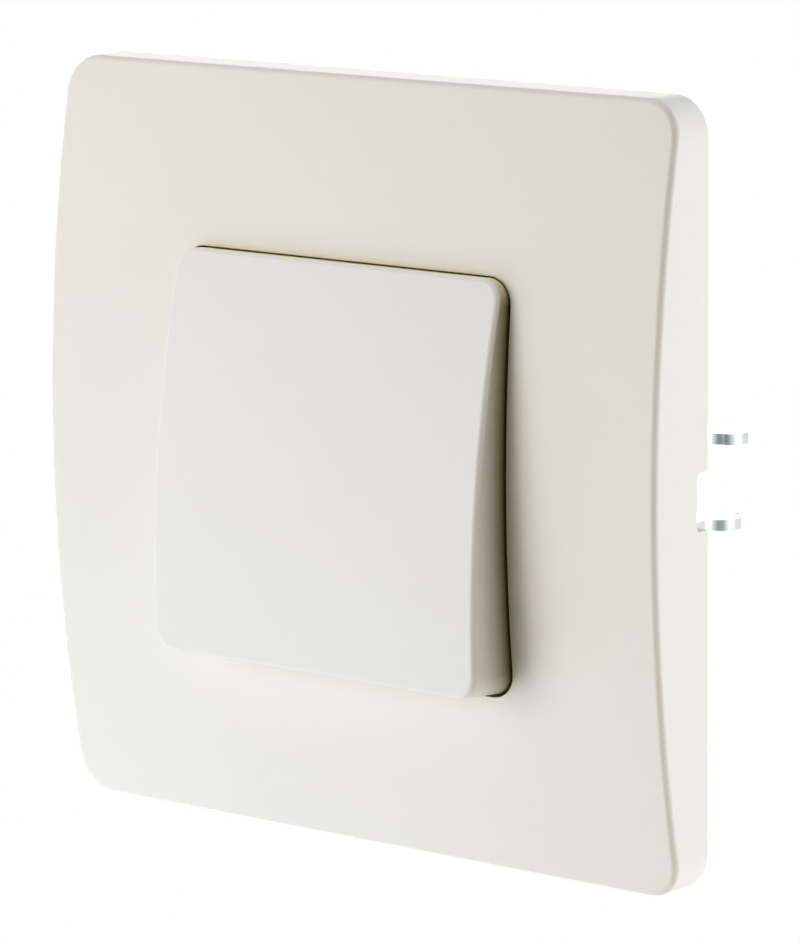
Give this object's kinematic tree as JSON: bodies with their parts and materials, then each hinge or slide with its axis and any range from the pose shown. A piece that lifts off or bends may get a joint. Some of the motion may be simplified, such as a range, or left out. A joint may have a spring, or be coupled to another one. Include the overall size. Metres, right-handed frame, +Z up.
{
  "type": "push button light switch",
  "caption": "Wall push button: crowned square cover plate with a hinged spring-return key, contact mechanism, support frame and box claws behind.",
  "frame": {"origin": "centre of the cover plate's back, in the wall plane", "axes": "+X right seen from the front, +Y back into the wall, +Z up"},
  "size_m": [0.085, 0.0396, 0.085],
  "materials": {
    "plate_plastic": "satin white moulding",
    "key_plastic": "satin white moulding",
    "frame_plastic": "pale grey moulding",
    "housing_plastic": "off-white moulding",
    "base_plastic": "grey moulding",
    "plunger_plastic": "natural white moulding",
    "spring_steel": "drawn spring steel",
    "contact_brass": "stamped",
    "contact_silver": "silver alloy",
    "tab_plastic": "dark grey moulding",
    "claw_zinc": "zinc plated sheet steel",
    "screw_zinc": "zinc plated"
  },
  "bodies": {
    "root": {"cover_plate": "plate_plastic", "support_frame": "frame_plastic", "mechanism_housing": "housing_plastic", "terminal_base": "base_plastic", "return_spring": "spring_steel", "fixed_contact_right": "contact_silver", "fixed_contact_left": "contact_silver", "terminal_strip_right": "contact_brass", "terminal_strip_left": "contact_brass", "clamp_spring_right": "spring_steel", "clamp_spring_left": "spring_steel"},
    "key": {"push_key": "key_plastic"},
    "plunger": {"plunger": "plunger_plastic", "contact_spring": "spring_steel", "contact_bridge": "contact_brass", "bridge_contacts": "contact_silver"},
    "release_right": {"release_tab_right": "tab_plastic"},
    "release_left": {"release_tab_left": "tab_plastic"},
    "claw_right": {"claw_right": "claw_zinc"},
    "claw_left": {"claw_left": "claw_zinc"},
    "screw_right": {"claw_screw_right": "screw_zinc"},
    "screw_left": {"claw_screw_left": "screw_zinc"}
  },
  "joints": [
    {"name": "key_press", "type": "hinge", "parent": "root", "child": "key", "pos_m": [0, -0.0062, 0.0176], "axis": [1, 0, 0], "range_deg": [0, 5.5], "stiffness_Nm_per_rad": 0.8, "springref_deg": -8.59},
    {"name": "plunger_slide", "type": "slide", "parent": "root", "child": "plunger", "axis": [0, 1, 0], "range_m": [0, 0.00227], "deforming": ["return_spring"]},
    {"name": "release_right_push", "type": "slide", "parent": "root", "child": "release_right", "axis": [0, -1, 0], "range_m": [0, 0.0016], "stiffness_N_per_m": 2000, "springref_m": -0.0015, "deforming": ["clamp_spring_right"]},
    {"name": "release_left_push", "type": "slide", "parent": "root", "child": "release_left", "axis": [0, -1, 0], "range_m": [0, 0.0016], "stiffness_N_per_m": 2000, "springref_m": -0.0015, "deforming": ["clamp_spring_left"]},
    {"name": "screw_right_turn", "type": "hinge", "parent": "root", "child": "screw_right", "pos_m": [0.029, 0, -0.0023], "axis": [0, 1, 0], "range_deg": [0, 1080]},
    {"name": "screw_left_turn", "type": "hinge", "parent": "root", "child": "screw_left", "pos_m": [-0.029, 0, 0.0023], "axis": [0, 1, 0], "range_deg": [0, 1080]},
    {"name": "claw_right_swing", "type": "hinge", "parent": "root", "child": "claw_right", "pos_m": [0.0252, -0.0019, -0.0023], "axis": [0, 0, -1], "range_deg": [0, 21.1]},
    {"name": "claw_left_swing", "type": "hinge", "parent": "root", "child": "claw_left", "pos_m": [-0.0252, -0.0019, 0.0023], "axis": [0, 0, 1], "range_deg": [0, 21.1]}
  ],
  "couplings": [
    {"joint": "plunger_slide", "follows": "key_press", "m_per_rad": 0.0236},
    {"joint": "claw_right_swing", "follows": "screw_right_turn", "ratio": 0.019444},
    {"joint": "claw_left_swing", "follows": "screw_left_turn", "ratio": 0.019444}
  ]
}
